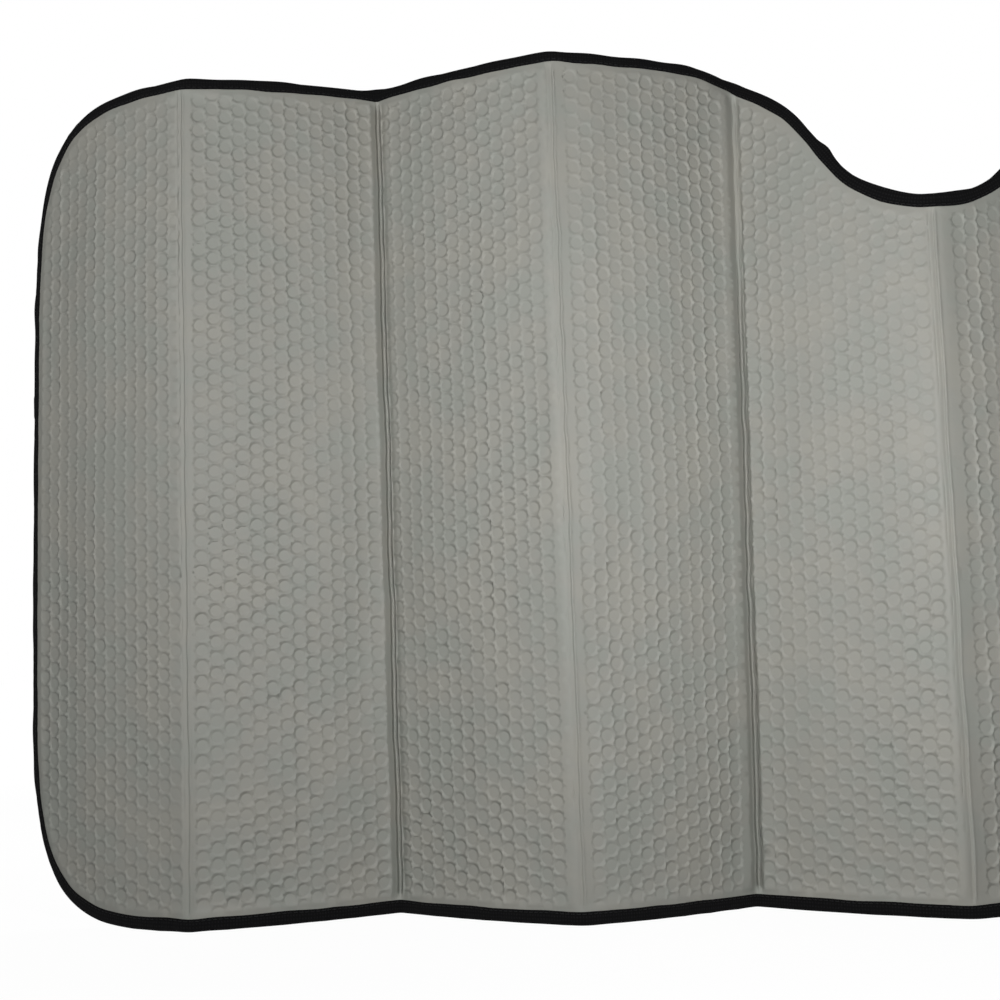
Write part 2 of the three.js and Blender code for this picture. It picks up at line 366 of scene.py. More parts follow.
def nearestBubble(bubbles, u, z):
    # distance from the nearest bubble's centre, its depth, its place along the sheet and the height above it
    best = np.full(len(u), 1e9)
    depth = np.ones(len(u))
    centre = np.zeros(len(u))
    height = np.zeros(len(u))
    base = np.floor(u / columnPitch + 0.6).astype(int)
    for step in (0, 1):
        column = np.clip(base + step, 0, columnCount - 1)
        row = np.rint(z / foil["bubblePitch"] + 1 - 0.5 * (column % 2)).astype(int)
        row = np.clip(row, 0, rowCount - 1)
        aside, above = u - bubbles["u"][column, row], z - bubbles["z"][column, row]
        far = np.hypot(aside, foil["bubbleSquash"] * above) / bubbles["size"][column, row]
        closer = far < best
        best = np.where(closer, far, best)
        depth = np.where(closer, bubbles["depth"][column, row], depth)
        centre = np.where(closer, bubbles["u"][column, row], centre)
        height = np.where(closer, above, height)
    return best, depth, centre, height


foldWander = [wavyLine(40 + fold, 6, 25, 260) for fold in range(cut["panels"] + 1)]
slump = waves(7, 10, 70, 240)
depthDrift = waves(9, 8, 80, 300)
faceBubbles = {1: scatterBubbles(1), -1: scatterBubbles(2)}


def wander(fold, z):
    # how far a fold's pressed line lies from the fold itself
    up = z / cut["height"]
    aside = np.array(creases["asideHead"])[fold] * up + np.array(creases["asideFoot"])[fold] * (1 - up)
    total = np.zeros(len(z))
    for one in np.unique(fold):
        if 0 < one < cut["panels"]:
            here = fold == one
            total[here] = aside[here] + creases["wander"] * foldWander[one](z[here])
    return total


def seamLine(column, z):
    # the wavy line between this column of bubbles and the next
    centre = (column - 0.6) * columnPitch + columnPitch / 2
    return centre + 0.8 * np.cos(2 * math.pi * (z / foil["bubblePitch"] - 0.5 * (column % 2)))


seamRng = np.random.default_rng(21)
raisedSeams = {side: np.flatnonzero(seamRng.random(columnCount) < 0.16) for side in (1, -1)}
raisedSeams[1] = np.union1d(raisedSeams[1], foil["boldSeams"])
seamFade = wavyLine(33, 7, 90, 500)


def seamAt(u, z, side):
    # height of the creased seams between some columns of bubbles
    column = np.floor(u / columnPitch + 0.6).astype(int)
    raised = np.isin(column, raisedSeams[side])
    strength = raised * np.clip(0.5 + 0.7 * seamFade(z + 137 * column), 0, 1)
    bold = foil["boldSeam"] * smoothStep(z, *foil["boldFrom"])
    strength = np.where(np.isin(column, foil["boldSeams"]), bold, strength)
    return foil["seamHeight"] * strength * bell(u - seamLine(column, z), 0.8)


# A ridge is pressed flat on the left of its line. This is the height that turns the round bend into that facet.
facetAt = np.linspace(-7, 40, 471)
roundSlope = math.tan(folds["tilt"]) * np.clip(facetAt / folds["ridgeReach"], -1, 1)
facetSlope = np.interp(facetAt, [-7, -6.2, -4.0, 0.6, 2.2, 6, 7, 40], [-1, -1, -0.15, -0.15, 1, 1, 1, 1])
facetSlope = np.where(np.abs(facetAt) < 7, facetSlope * math.tan(folds["tilt"]), roundSlope)
facetHeight = -np.cumsum(facetSlope - roundSlope) * (facetAt[1] - facetAt[0])
facetHeight = facetHeight * (1 - smoothStep(facetAt, 6, 38))


def faceHeight(u, z, side, inset, lap):
    # height of one face above the middle of the foil; side is 1 on the face that looks out and -1 on the other
    width = cut["panelWidth"]
    fold = np.clip(np.rint(u / width).astype(int), 1, cut["panels"] - 1)
    fromFold = u - fold * width
    far = np.abs(fromFold)
    ridge = (fold % 2 == 1) == (side == 1)
    along = fromFold - wander(fold, z) * (1 - smoothStep(far, 8.5, 14))
    s = np.abs(along)

    crease = creases[side]
    thin = crease["ridgeHalf"] + (foil["half"] - crease["ridgeHalf"]) * smoothStep(far, 0, foil["creaseReach"])
    dive = np.where(along < 0, np.array(creases["diveLeft"])[fold], np.array(creases["diveRight"])[fold])
    lip = foil["half"] + 0.4 * (1 - smoothStep(far, dive, dive + 18))
    rise = 0.75 * np.clip((s - 2.4) / (dive - 2.4), 0, 1) + 0.25 * smoothStep(s, 2.4, dive)
    rolled = crease["valleyFloor"] + (lip - crease["valleyFloor"]) * rise
    height = np.where(ridge, thin, rolled)

    # a ridge has a groove, a fainter second one to its left, and a low rise to its right
    second = np.clip(0.5 + 0.5 * foldWander[3](z + 211) + 0.8 * (z / cut["height"] - 0.5), 0, 1)
    groove = -crease["grooveDepth"] * bell(along, np.where(along < 0, 2.0, 0.7))
    groove = groove - 0.6 * crease["grooveDepth"] * second * bell(along + 3.4, 0.6) + 0.3 * bell(along - 1.9, 0.9)
    bead = crease["beadHeight"] * bell(s, 0.6)
    bead = bead - crease["slotDepth"] * np.maximum(0, 1 - np.abs(s - foil["slotAside"]) / 0.77)
    soft = np.isin(fold, creases["softHead"])
    runsOut = np.where(soft, 1 - creases["softShare"] * smoothStep(z, *creases["softFrom"]), 1)
    height = height + np.where(ridge, groove, bead * runsOut * smoothStep(inset, lap - 1, lap + 5))
    if side == 1:
        height = height + np.where(ridge, np.interp(along, facetAt, facetHeight, 0, 0), 0)

    reach, depth, centre, above = nearestBubble(faceBubbles[side], u, z)
    dimple = 1 - smoothStep(reach, foil["bubbleFloor"], foil["bubbleBrim"])
    panel = np.clip(np.floor(u / width).astype(int), 0, cut["panels"] - 1)
    up = z / cut["height"]
    press = np.array(foil["headPress"])[panel] * up + np.array(foil["footPress"])[panel] * (1 - up)
    dimple = dimple * press * (1 + foil["bubbleLean"] * above / foil["bubbleBrim"])
    dimple = dimple * (1 + foil["depthDrift"] * depthDrift(u, z)) * smoothStep(inset, lap + 1, lap + 10)
    clear = np.where(along < 0, np.array(creases["clearLeft"])[fold], np.array(creases["clearRight"])[fold])
    whole = smoothStep(np.abs(centre - fold * width) + 3 * (depth - 1), clear + 0.5, clear + 5.5)
    whole = whole * smoothStep(far, 2.5, 5.5)
    fade = np.where(ridge | (clear > 5), whole, smoothStep(far, clear - 1.0, clear + 0.8))
    share = 1 if side == 1 else foil["backShare"]
    sunk = np.minimum(foil["bubbleDepth"] * depth * dimple * share, foil["deepest"])
    height = height + fade * (seamAt(u, z, side) - sunk)

    pressed = smoothStep(inset, lap, lap + 6.5)
    return foil["rimHalf"] + (height - foil["rimHalf"]) * pressed


def slumpAt(u, z, inset):
    # the slack of a panel, which fades towards its folds and the tape
    far = np.abs(u - np.rint(u / cut["panelWidth"]) * cut["panelWidth"])
    return foil["slack"] * slump(u, z) * smoothStep(inset, 8, 40) * smoothStep(far, 2, 30)


def facePoints(u, z, side):
    # the folded place and the facing of each point of a face
    inset, way, lap = insetFromRim(u, z)
    nudge = 0.06

    def at(du, dz):
        nearer = inset + du * way[:, 0] + dz * way[:, 1]
        height = faceHeight(u + du, z + dz, side, nearer, lap)
        return foldUp(u + du, z + dz, slumpAt(u + du, z + dz, nearer) + side * height)

    across = at(nudge, 0) - at(-nudge, 0)
    upwards = at(0, nudge) - at(0, -nudge)
    facing = unit(np.cross(across, upwards)) * side
    return at(0, 0), facing


def foldRows():
    # heights up a fold line, as shares of the head's height there
    return np.linspace(0, 1, int(cut["height"] / foil["rowStep"]) + 1)


def bandPoint(fold, offset, share):
    # a point of the narrow band beside a fold, where the rows follow the head and the foot
    guess = fold * cut["panelWidth"] + offset
    z = share * headHeight(np.full(len(share), guess))
    u = guess + wander(np.full(len(share), fold), z)
    return np.stack([u, share * headHeight(u)], -1)


def panelEdge(panel):
    # anticlockwise edge of the middle part of a panel, between its two fold bands
    width = cut["panelWidth"]
    band = bandColumns[-1]
    share = foldRows()
    first, last = panel == 0, panel == cut["panels"] - 1
    leftBand = None if first else bandPoint(panel, band, share)
    rightBand = None if last else bandPoint(panel + 1, -band, share)
    footFrom = cut["footCorner"][0] if first else leftBand[0, 0]
    footTo = sheetWidth - cut["footCorner"][0] if last else rightBand[0, 0]
    headFrom = cut["headCorner"][0] if first else leftBand[-1, 0]
    headTo = sheetWidth - cut["headCorner"][0] if last else rightBand[-1, 0]
    footCount = max(2, int(round((footTo - footFrom) / 4)) + 1)
    headCount = max(2, int(round((headTo - headFrom) / 4)) + 1)
    foot = np.linspace(footFrom, footTo, footCount)
    head = np.linspace(headFrom, headTo, headCount)
    runs = [np.stack([foot, np.zeros(footCount)], -1)[:-1]]
    if last:
        runs.append((leftEdge(4.0)[::-1] * [-1, 1] + [sheetWidth, 0])[:-1])
    else:
        runs.append(rightBand[:-1])
    runs.append(np.stack([head, headHeight(head)], -1)[::-1][:-1])
    runs.append(leftEdge(4.0)[:-1] if first else leftBand[::-1][:-1])
    return np.concatenate(runs)


def insideEdge(points, edge, margin):
    # which points lie inside a closed edge, and at least margin away from it
    x, y = points[:, 0], points[:, 1]
    inside = np.zeros(len(points), bool)
    clear = np.ones(len(points), bool)
    for (ax, ay), (bx, by) in zip(edge, np.roll(edge, -1, 0)):
        crosses = (ay > y) != (by > y)
        inside ^= crosses & (x < (bx - ax) * (y - ay) / (by - ay if by != ay else 1e-12) + ax)
        dx, dy = bx - ax, by - ay
        t = np.clip(((x - ax) * dx + (y - ay) * dy) / (dx * dx + dy * dy), 0, 1)
        clear &= (x - ax - t * dx) ** 2 + (y - ay - t * dy) ** 2 > margin * margin
    return points[inside & clear]


def bubblePoints(panel, side):
    # rings of points round every bubble of a panel, so that its floor and brim are drawn round
    width = cut["panelWidth"]
    bubbles = faceBubbles[side]
    here = (bubbles["u"] > panel * width - 6) & (bubbles["u"] < (panel + 1) * width + 6)
    u, z, size = bubbles["u"][here], bubbles["z"][here], bubbles["size"][here]
    found = []
    for radius, count in foil["rings"][side]:
        angle = np.arange(count) * 2 * math.pi / count
        ring = np.stack([
            u[:, None] + radius * size[:, None] * np.cos(angle),
            z[:, None] + radius * size[:, None] * np.sin(angle),
        ], -1)
        found.append(ring.reshape(-1, 2))
    if side == 1:
        for aside in (-1, 1):       # where three bubbles meet
            found.append(np.stack([u + aside * foil["bubblePitch"] / math.sqrt(3), z], -1))
        up = np.arange(0, cut["height"], foil["bubblePitch"] / 4)
        for column in raisedSeams[side]:
            for aside in (-0.8, 0, 0.8):
                found.append(np.stack([seamLine(column, up) + aside, up], -1))
    return np.concatenate(found)


def panelNet(panel, side):
    # points and triangles of one face of a panel on the flat sheet, and its edge points in order
    edge = panelEdge(panel)
    loose = insideEdge(bubblePoints(panel, side), edge, 0.45)
    points = np.concatenate([edge, loose])
    coords = [Vector(p) for p in points.tolist()]
    found = delaunay_2d_cdt(coords, [], [list(range(len(edge)))], 1, 1e-5)
    where = np.array([[v.x, v.y] for v in found[0]])
    for index, origin in enumerate(found[3]):
        if origin:
            where[index] = points[origin[0]]
    triangles = [list(face) for face in found[2]]
    pieces = [(where, np.array(triangles))]
    share = foldRows()
    for fold, sign in ((panel, 1), (panel + 1, -1)):
        if fold in (0, cut["panels"]):
            continue
        grid = np.stack([bandPoint(fold, sign * offset, share) for offset in bandColumns])
        rows = len(share)
        a, b = np.meshgrid(np.arange(len(bandColumns) - 1), np.arange(rows - 1), indexing="ij")
        one = (a * rows + b).ravel()
        quads = np.stack([one, one + rows, one + rows + 1, one + 1], -1)
        if sign < 0:
            quads = quads[:, ::-1]
        pieces.append((grid.reshape(-1, 2), np.concatenate([quads[:, [0, 1, 2]], quads[:, [0, 2, 3]]])))
    allPoints, allTriangles, start = [], [], 0
    for where, triangles in pieces:
        allPoints.append(where)
        allTriangles.append(triangles + start)
        start += len(where)
    allPoints = np.concatenate(allPoints)
    allTriangles = np.concatenate(allTriangles)
    _, firstSeen, welded = np.unique(np.round(allPoints, 3), axis=0, return_index=True, return_inverse=True)
    triangles = welded.ravel()[allTriangles]
    whole = (triangles[:, 0] != triangles[:, 1]) & (triangles[:, 1] != triangles[:, 2])
    whole &= triangles[:, 0] != triangles[:, 2]
    return allPoints[firstSeen], triangles[whole]


def openEdges(triangles):
    # the edges that only one triangle has, each in its triangle's direction
    edges = np.concatenate([triangles[:, [0, 1]], triangles[:, [1, 2]], triangles[:, [2, 0]]])
    low = edges.min(1).astype(np.int64)
    high = edges.max(1).astype(np.int64)
    code = low * (triangles.max() + 1) + high
    _, index, count = np.unique(code, return_index=True, return_counts=True)
    return edges[index[count == 1]]


def addMesh(name, points, faces, normals=None, flatMap=None):
    mesh = bpy.data.meshes.new(name)
    faces = faces.tolist() if isinstance(faces, np.ndarray) else faces
    mesh.from_pydata(points.tolist(), [], faces, shade_flat=False)
    if flatMap is not None:
        layer = mesh.uv_layers.new(name="flatSheet")
        corner = np.zeros(len(mesh.loops), np.int32)
        mesh.loops.foreach_get("vertex_index", corner)
        layer.data.foreach_set("uv", flatMap[corner].astype(np.float32).ravel())
    if normals is not None:
        mesh.normals_split_custom_set_from_vertices(normals.tolist())
    mesh.update()
    made = bpy.data.objects.new(name, mesh)
    bpy.context.scene.collection.objects.link(made)
    return made


def makePanel(panel):
    # a closed shell: the front, the back and a narrow wall round their edge
    points, triangles, facings, flat = [], [], [], []
    start = 0
    rims = {}
    for side in (1, -1):
        net, faces = panelNet(panel, side)
        place, facing = facePoints(net[:, 0], net[:, 1], side)
        rim = openEdges(faces)
        rims[side] = {tuple(np.round(net[a], 3)): a + start for a in np.unique(rim)}
        if side == 1:
            rimEdges = [(tuple(np.round(net[a], 3)), tuple(np.round(net[b], 3))) for a, b in rim]
        points.append(place)
        facings.append(facing)
        flat.append(net * 0.001)
        triangles.append((faces if side == 1 else faces[:, ::-1]) + start)
        start += len(net)
    walls = []
    for a, b in rimEdges:
        if a in rims[-1] and b in rims[-1]:
            walls.append([rims[1][b], rims[1][a], rims[-1][a]])
            walls.append([rims[1][b], rims[-1][a], rims[-1][b]])
    lost = len(rimEdges) - len(walls) // 2
    name = f"foil_panel_{panel + 1}"
    made = addMesh(name, np.concatenate(points), np.concatenate(triangles + [np.array(walls)]),
                   np.concatenate(facings), np.concatenate(flat))
    print(f"{name}: {len(made.data.polygons)} faces, {lost} edges left open")
    return made


panels = [makePanel(panel) for panel in range(cut["panels"])]
print(f"foil: {sum(len(p.data.polygons) for p in panels)} faces")


def makeTape():
    # the tape's section, run once round the outline
    points = wholeOutline(tape["step"])
    out = outwardOf(points)
    lap = lapAt(points, out)
    count = len(points)
    run = np.concatenate([[0], np.cumsum(np.linalg.norm(np.diff(points, axis=0), axis=1))])
    around = run[-1] + np.linalg.norm(points[0] - points[-1])
    turns = 2 * math.pi * run / around

    def loop(seed, low, high, size):
        # a wandering value that meets itself after one turn round the sheet
        rng = np.random.default_rng(seed)
        total = np.zeros(count)
        for cycles in rng.integers(low, high, 14):
            total += np.sin(cycles * turns + rng.uniform(0, 2 * math.pi))
        return size * total * math.sqrt(2 / 14)

    fold = np.rint(points[:, 0] / cut["panelWidth"])
    level = np.abs(out[:, 1]) > 0.8
    atValley = (fold % 2 == 0) & (fold > 0) & (fold < cut["panels"]) & level
    pucker = np.where(atValley, bell(points[:, 0] - fold * cut["panelWidth"], 7.0), 0)
    onFoot = smoothStep(-out[:, 1], 0.2, 0.9)

    edge = loop(11, 25, 120, tape["edgeWobble"])
    edge = edge * (1 - onFoot) - 0.3 * np.abs(edge) * onFoot + tape["valleyPucker"] * pucker * (1 - onFoot)
    bumpAt, bumpHeight, bumpWidth = tape["bump"]
    fromBump = np.hypot(points[:, 0] - bumpAt, points[:, 1] - headHeight(np.full(count, float(bumpAt))))
    edge = edge + bumpHeight * bell(fromBump, bumpWidth)
    lapFront = lap + loop(12, 30, 150, tape["frontLapWobble"])
    lapBack = lap + loop(13, 30, 150, tape["backLapWobble"])
    puffFront = loop(14, 120, 520, tape["skinWobble"])
    puffBack = loop(15, 120, 520, tape["skinWobble"])

    onLeft = (points[:, 0] < 1) & (np.abs(points[:, 1] - tape["joinHeight"]) < tape["joinLength"] / 2)
    doubled = onLeft * tape["joinRise"]

    inner, outer, hang = tape["inner"], tape["outer"], tape["overhang"]
    section = [                     # inset from the foil's edge, and height from its middle
        (lapFront - 0.05, inner + 0.12 + 0 * lap),
        (lapFront, outer - 0.25 + doubled),
        (lapFront - 0.45, outer + doubled),
        (lapFront * 0.62, outer + doubled + 0.10 + puffFront),
        (lapFront * 0.30, outer + doubled + 0.16 + puffFront),
        (0.3 + 0 * lap, outer + doubled + 0.02 + 0.4 * puffFront),
        (-0.45 - edge, outer - 0.42 + doubled),
        (-hang - edge - doubled, 0.7 + 0 * lap),
        (-hang - edge - doubled - 0.02, -0.7 + 0 * lap),
        (-0.45 - edge, -outer + 0.42 - doubled),
        (0.3 + 0 * lap, -outer - doubled - 0.02 - 0.4 * puffBack),
        (lapBack * 0.30, -outer - doubled - 0.16 - puffBack),
        (lapBack * 0.62, -outer - doubled - 0.10 - puffBack),
        (lapBack - 0.45, -outer - doubled),
        (lapBack, -outer + 0.25 - doubled),
        (lapBack - 0.05, -inner - 0.12 + 0 * lap),
        (0.0 * lap - 0.3, -inner + 0 * lap),
        (0.0 * lap - 0.3, inner + 0 * lap),
    ]
    corners = len(section)
    places, maps = [], []
    across = 0.0
    for index, (inset, high) in enumerate(section):
        flat = points - out * inset[:, None]
        places.append(foldUp(flat[:, 0], flat[:, 1], high))
        if index:
            across += float(np.hypot(inset - section[index - 1][0], high - section[index - 1][1]).mean())
        maps.append(np.stack([run, np.full(count, across)], -1) * 0.001)
    places = np.stack(places, 1).reshape(-1, 3)
    maps = np.stack(maps, 1).reshape(-1, 2)
    here, corner = np.meshgrid(np.arange(count), np.arange(corners), indexing="ij")
    one = (here * corners + corner).ravel()
    two = (here * corners + (corner + 1) % corners).ravel()
    three = (((here + 1) % count) * corners + (corner + 1) % corners).ravel()
    four = (((here + 1) % count) * corners + corner).ravel()
    made = addMesh("edge_tape", places, np.stack([one, two, three, four], -1)[:, ::-1], flatMap=maps)
    return made, points, out, lapFront, lapBack, run


edgeTape, tapePoints, tapeOut, lapFront, lapBack, tapeRun = makeTape()
print(f"edge tape: {len(edgeTape.data.polygons)} quads")

stitching = {
    "length": 3.4,                  # one stitch, and the gap to the next
    "gap": 0.8,
    "thread": 0.5,                  # thread width as sewn
    "fromLap": 1.7,                 # the row runs this far from the tape's inner edge
}


def makeStitches():
    # two rows of lockstitch, one on each face, each stitch a small spindle of thread
    total = tapeRun[-1]
    starts = np.arange(0, total - stitching["length"], stitching["length"] + stitching["gap"])
    places, faces = [], []
    half = stitching["thread"] / 2
    shape = [(0.0, 0.0), (0.12, 1.0), (0.5, 1.15), (0.88, 1.0), (1.0, 0.0)]     # share of its length, and width
    for side, laps in ((1, lapFront), (-1, lapBack)):
        for share, size in shape:
            run = starts + share * stitching["length"]
            u = np.interp(run, tapeRun, tapePoints[:, 0])
            z = np.interp(run, tapeRun, tapePoints[:, 1])
            outU = np.interp(run, tapeRun, tapeOut[:, 0])
            outZ = np.interp(run, tapeRun, tapeOut[:, 1])
            inset = np.interp(run, tapeRun, laps) - stitching["fromLap"]
            ring = [(0, 1)] if size == 0 else [(-1, 0), (0, 1), (1, 0), (0, -1)]
            for aside, above in ring:
                at = inset + aside * half * size
                lift = tape["outer"] + 0.05 + (above * half * size if size else -0.12)
                flatU, flatZ = u - outU * at, z - outZ * at
                places.append(foldUp(flatU, flatZ, side * lift))
    ringSizes = [1, 4, 4, 4, 1]
    count = len(starts)
    perSide = sum(ringSizes)
    for side in (0, 1):
        base = side * perSide * count
        first = [base + sum(ringSizes[:i]) * count for i in range(5)]
        one = np.arange(count)
        for corner in range(4):
            following = (corner + 1) % 4
            turns = [
                [first[0] + one, first[1] + corner * count + one, first[1] + following * count + one],
                [first[4] + one, first[3] + following * count + one, first[3] + corner * count + one],
            ]
            for ring in (1, 2):
                a = first[ring] + corner * count + one
                b = first[ring] + following * count + one
                c = first[ring + 1] + following * count + one
                d = first[ring + 1] + corner * count + one
                turns += [[a, d, c], [a, c, b]]
            for turn in turns:
                face = np.stack(turn, -1)
                faces.append(face if side == 0 else face[:, ::-1])
    return addMesh("tape_stitches", np.concatenate(places), np.concatenate(faces))


stitches = makeStitches()
print(f"stitches: {len(stitches.data.polygons)} faces")


def colourOf(hexText):
    # sRGB hex to linear
    channels = [int(hexText[i:i + 2], 16) / 255 for i in (1, 3, 5)]
    return [c / 12.92 if c <= 0.04045 else ((c + 0.055) / 1.055) ** 2.4 for c in channels] + [1.0]


def addNode(tree, kind, settings=None, **links):
    # a node with its settings, and links given as inputName=(node, outputName) or a value
    node = tree.nodes.new(kind)
    for key, value in (settings or {}).items():
        setattr(node, key, value)
    for key, value in links.items():
        socket = node.inputs[int(key[1:])] if key[0] == "_" else node.inputs[key.replace("_", " ")]
        if isinstance(value, tuple) and isinstance(value[0], bpy.types.Node):
            tree.links.new(value[0].outputs[value[1]], socket)
        else:
            socket.default_value = value
    return node


def newMaterial(name):
    material = bpy.data.materials.new(name)
    material.use_nodes = True
    material.node_tree.nodes.clear()
    return material, material.node_tree


# Embossed polyethylene film over bubbles, heat-laminated: a satin grey skin, a little cloudy where the
# laminate took unevenly, with very fine drawn lines up the web
film = {
    "colour": "#96968f",
    "coolColour": "#94968f",
    "warmColour": "#999890",
    "roughness": 0.6,
    "ior": 1.51,
    "cloud": 1 / 0.055,             # clouds about 55 mm across
    "grain": 1 / 0.0016,            # film grain, really about 0.2 mm, drawn at 1.6 mm so that it shows
    "grainBump": 0.12,
}


def filmMaterial():
    material, tree = newMaterial("laminatedBubbleFilm")
    where = addNode(tree, "ShaderNodeUVMap", {"uv_map": "flatSheet"})
    cloud = addNode(tree, "ShaderNodeTexNoise", {"noise_dimensions": "2D"}, Vector=(where, "UV"),
                    Scale=film["cloud"], Detail=4.0, Roughness=0.6)
    tint = addNode(tree, "ShaderNodeValToRGB", None, Fac=(cloud, "Fac"))
    ramp = tint.color_ramp
    ramp.elements[0].position = 0.36
    ramp.elements[0].color = colourOf(film["coolColour"])
    ramp.elements[1].position = 0.66
    ramp.elements[1].color = colourOf(film["warmColour"])
    middleStop = ramp.elements.new(0.5)
    middleStop.color = colourOf(film["colour"])
    grain = addNode(tree, "ShaderNodeTexNoise", {"noise_dimensions": "2D"}, Vector=(where, "UV"),
                    Scale=film["grain"], Detail=2.0, Roughness=0.5)
    bump = addNode(tree, "ShaderNodeBump", None, Height=(grain, "Fac"), Strength=film["grainBump"],
                   Distance=0.0003)
    skin = addNode(tree, "ShaderNodeBsdfPrincipled", None, Base_Color=(tint, "Color"), Roughness=film["roughness"],
                   IOR=film["ior"], Normal=(bump, "Normal"))
    addNode(tree, "ShaderNodeOutputMaterial", None, Surface=(skin, "BSDF"))
    return material


# Polyester tape, woven: dull black with a fine rib and a slight grey fuzz, the lighter grey laid on the rib tops
# as a painted highlight where the threads catch light
weave = {
    "dark": "#070708",
    "light": "#171718",
    "roughness": 0.9,
    "rib": 0.0022,                  # ribs are 0.5 mm on the real tape and drawn at 2.2 mm so that they show
    "fuzz": 900.0,                  # clumps of fuzz, about 1.1 mm
    "specular": 0.12,
    "sheen": 0.015,
}


def tapeMaterial():
    material, tree = newMaterial("wovenPolyesterTape")
    bands = 2 * math.pi / (20 * weave["rib"])       # a wave texture of scale 1 turns 20 radians a metre
    where = addNode(tree, "ShaderNodeUVMap", {"uv_map": "flatSheet"})
    warp = addNode(tree, "ShaderNodeTexWave", {"wave_type": "BANDS", "bands_direction": "X"}, Vector=(where, "UV"),
                   Scale=bands, Distortion=0.6, Detail=2.0)
    weft = addNode(tree, "ShaderNodeTexWave", {"wave_type": "BANDS", "bands_direction": "Y"}, Vector=(where, "UV"),
                   Scale=bands, Distortion=0.6, Detail=2.0)
    cross = addNode(tree, "ShaderNodeMath", {"operation": "MULTIPLY"}, _0=(warp, "Fac"), _1=(weft, "Fac"))
    fuzz = addNode(tree, "ShaderNodeTexNoise", {"noise_dimensions": "2D"}, Vector=(where, "UV"),
                   Scale=weave["fuzz"], Detail=2.0)
    # painted highlight: where the rib tops and the fuzz meet, the tape is drawn in the lighter grey
    fuzzAndPaintedHighlight = addNode(tree, "ShaderNodeMath", {"operation": "MULTIPLY"}, _0=(cross, "Value"), _1=(fuzz, "Fac"))
    tint = addNode(tree, "ShaderNodeValToRGB", None, Fac=(fuzzAndPaintedHighlight, "Value"))
    tint.color_ramp.elements[0].position = 0.05
    tint.color_ramp.elements[0].color = colourOf(weave["dark"])
    tint.color_ramp.elements[1].position = 0.5
    tint.color_ramp.elements[1].color = colourOf(weave["light"])
    bump = addNode(tree, "ShaderNodeBump", None, Height=(cross, "Value"), Strength=0.5, Distance=0.0004)
    skin = addNode(tree, "ShaderNodeBsdfPrincipled", None, Base_Color=(tint, "Color"),
                   Roughness=weave["roughness"], IOR=1.5, Specular_IOR_Level=weave["specular"],
                   Sheen_Weight=weave["sheen"], Normal=(bump, "Normal"))
    addNode(tree, "ShaderNodeOutputMaterial", None, Surface=(skin, "BSDF"))
    return material


# Spun polyester sewing thread, twisted: a little glossier than the tape it is sewn through
thread = {
    "dark": "#080809",
    "light": "#19191a",
    "roughness": 0.6,
    "twist": 1800.0,                # turns of the thread, about 0.55 mm long
    "specular": 0.25,
}


def threadMaterial():
    material, tree = newMaterial("twistedPolyesterThread")
    where = addNode(tree, "ShaderNodeTexCoord")
    twist = addNode(tree, "ShaderNodeTexNoise", None, Vector=(where, "Object"), Scale=thread["twist"], Detail=1.0)
    tint = addNode(tree, "ShaderNodeValToRGB", None, Fac=(twist, "Fac"))
    tint.color_ramp.elements[0].color = colourOf(thread["dark"])
    tint.color_ramp.elements[1].color = colourOf(thread["light"])
    bump = addNode(tree, "ShaderNodeBump", None, Height=(twist, "Fac"), Strength=0.3, Distance=0.0002)
    skin = addNode(tree, "ShaderNodeBsdfPrincipled", None, Base_Color=(tint, "Color"),
                   Roughness=thread["roughness"], IOR=1.5, Specular_IOR_Level=thread["specular"],
                   Normal=(bump, "Normal"))
    addNode(tree, "ShaderNodeOutputMaterial", None, Surface=(skin, "BSDF"))
    return material


filmSkin, tapeSkin, threadSkin = filmMaterial(), tapeMaterial(), threadMaterial()
for piece in panels:
    piece.data.materials.append(filmSkin)
edgeTape.data.materials.append(tapeSkin)
stitches.data.materials.append(threadSkin)
print("materials made")

# The studio: a white floor and backdrop, level strip lights and the camera.
studio = {
    "floorSize": 14.0,
    "floorColour": "#3c3c3c",
    "floorWhite": (0.96, 1.0),      # how white the floor looks at these two distances from the shade
    "floorFade": (0.5, 1.8),
    "ambient": 0.02,
    "lamps": [                      # place, width and height, power, and which way it shines
        ((-1.083, -1.106, 0.640), (1.2, 0.1), 9.1, 1),
        ((-0.094, -0.718, 0.383), (0.1, 0.1), 3.64, 1),
        ((1.15, -0.75, 0.50), (0.5, 0.1), 1.3, 1),
        ((0.0, 0.85, 0.52), (1.6, 0.1), 9.5, -1),
    ],
}


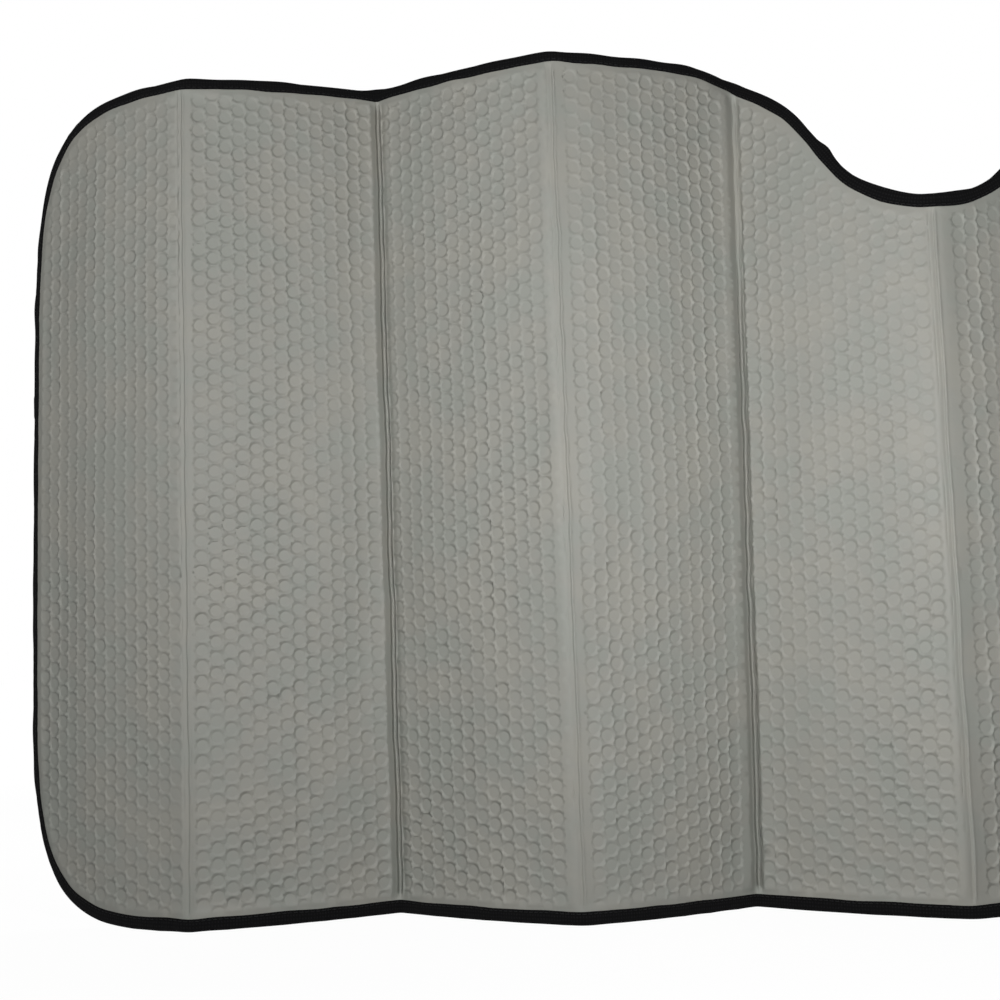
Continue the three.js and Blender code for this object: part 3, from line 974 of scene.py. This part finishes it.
def makeFloor():
    size = studio["floorSize"] / 2
    points = np.array([[-size, -size, 0], [size, -size, 0], [size, size, 0], [-size, size, 0]], float)
    floor = addMesh("studioFloor", points, [[0, 1, 2, 3]])
    material, tree = newMaterial("whitePaintedFloor")
    where = addNode(tree, "ShaderNodeTexCoord")
    away = addNode(tree, "ShaderNodeVectorMath", {"operation": "LENGTH"}, _0=(where, "Object"))
    fade = addNode(tree, "ShaderNodeMapRange", None, Value=(away, "Value"), _1=studio["floorFade"][0],
                   _2=studio["floorFade"][1], _3=studio["floorWhite"][0], _4=studio["floorWhite"][1])
    seen = addNode(tree, "ShaderNodeLightPath")
    mirrored = addNode(tree, "ShaderNodeMath", {"operation": "MAXIMUM"}, _0=(seen, "Is Camera Ray"),
                       _1=(seen, "Is Glossy Ray"))
    through = addNode(tree, "ShaderNodeMath", {"operation": "MAXIMUM"}, _0=(mirrored, "Value"),
                      _1=(seen, "Is Transmission Ray"))
    strength = addNode(tree, "ShaderNodeMath", {"operation": "MULTIPLY"}, _0=(through, "Value"),
                       _1=(fade, "Result"))
    matt = addNode(tree, "ShaderNodeBsdfDiffuse", None, Color=colourOf(studio["floorColour"]))
    glow = addNode(tree, "ShaderNodeEmission", None, Color=(1, 1, 1, 1), Strength=(strength, "Value"))
    both = addNode(tree, "ShaderNodeAddShader", None, _0=(matt, "BSDF"), _1=(glow, "Emission"))
    addNode(tree, "ShaderNodeOutputMaterial", None, Surface=(both, "Shader"))
    floor.data.materials.append(material)
    return floor


def makeWorld():
    world = bpy.data.worlds.new("whiteStudio")
    bpy.context.scene.world = world
    world.use_nodes = True
    tree = world.node_tree
    tree.nodes.clear()
    seen = addNode(tree, "ShaderNodeLightPath")
    mirrored = addNode(tree, "ShaderNodeMath", {"operation": "MAXIMUM"}, _0=(seen, "Is Camera Ray"),
                       _1=(seen, "Is Transmission Ray"))
    level = addNode(tree, "ShaderNodeMapRange", None, Value=(mirrored, "Value"), _3=studio["ambient"], _4=1.0)
    sky = addNode(tree, "ShaderNodeBackground", None, Color=(1, 1, 1, 1), Strength=(level, "Result"))
    addNode(tree, "ShaderNodeOutputWorld", None, Surface=(sky, "Background"))


def addLamp(number, place, size, power, way):
    # a strip light that shines level, towards +Y or -Y
    name = f"softLamp{number}"
    lamp = bpy.data.lights.new(name, "AREA")
    lamp.shape = "RECTANGLE"
    lamp.size, lamp.size_y = size
    lamp.energy = power
    made = bpy.data.objects.new(name, lamp)
    made.location = place
    made.rotation_euler = (math.radians(90 * way), 0, 0)
    made.visible_camera = False
    bpy.context.scene.collection.objects.link(made)


# where the photograph was taken from: a little left of the middle, low, and looking slightly up
viewpoint = {
    "place": (-0.2780, -1.1969, 0.2207),
    "turn": (3.04, 4.89, 1.55),             # yaw, pitch and roll in degrees
    "lens": 54.99,
    "sensor": 36,
}


def makeCamera():
    yaw, pitch, roll = (math.radians(a) for a in viewpoint["turn"])
    turn = Matrix.Rotation(yaw, 3, "Z") @ Matrix.Rotation(pitch, 3, "X") @ Matrix.Rotation(roll, 3, "Y")
    right, forward, up = turn.col[0], turn.col[1], turn.col[2]
    lens = bpy.data.cameras.new("photographView")
    lens.sensor_width = viewpoint["sensor"]
    lens.lens = viewpoint["lens"]
    lens.clip_end = 50
    camera = bpy.data.objects.new("photographView", lens)
    camera.matrix_world = Matrix((
        *((right[i], up[i], -forward[i], viewpoint["place"][i]) for i in range(3)),
        (0, 0, 0, 1),
    ))
    bpy.context.scene.collection.objects.link(camera)
    bpy.context.scene.camera = camera


makeFloor()
makeWorld()
for number, (place, size, power, way) in enumerate(studio["lamps"], 1):
    addLamp(number, place, size, power, way)
makeCamera()
bpy.context.scene.view_settings.view_transform = "Standard"
print("studio set")

for piece in panels:
    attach(piece, "root")
    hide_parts("bubble_sheet")
for piece in (edgeTape, stitches):
    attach(piece, "root")
    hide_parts("edge_binding")
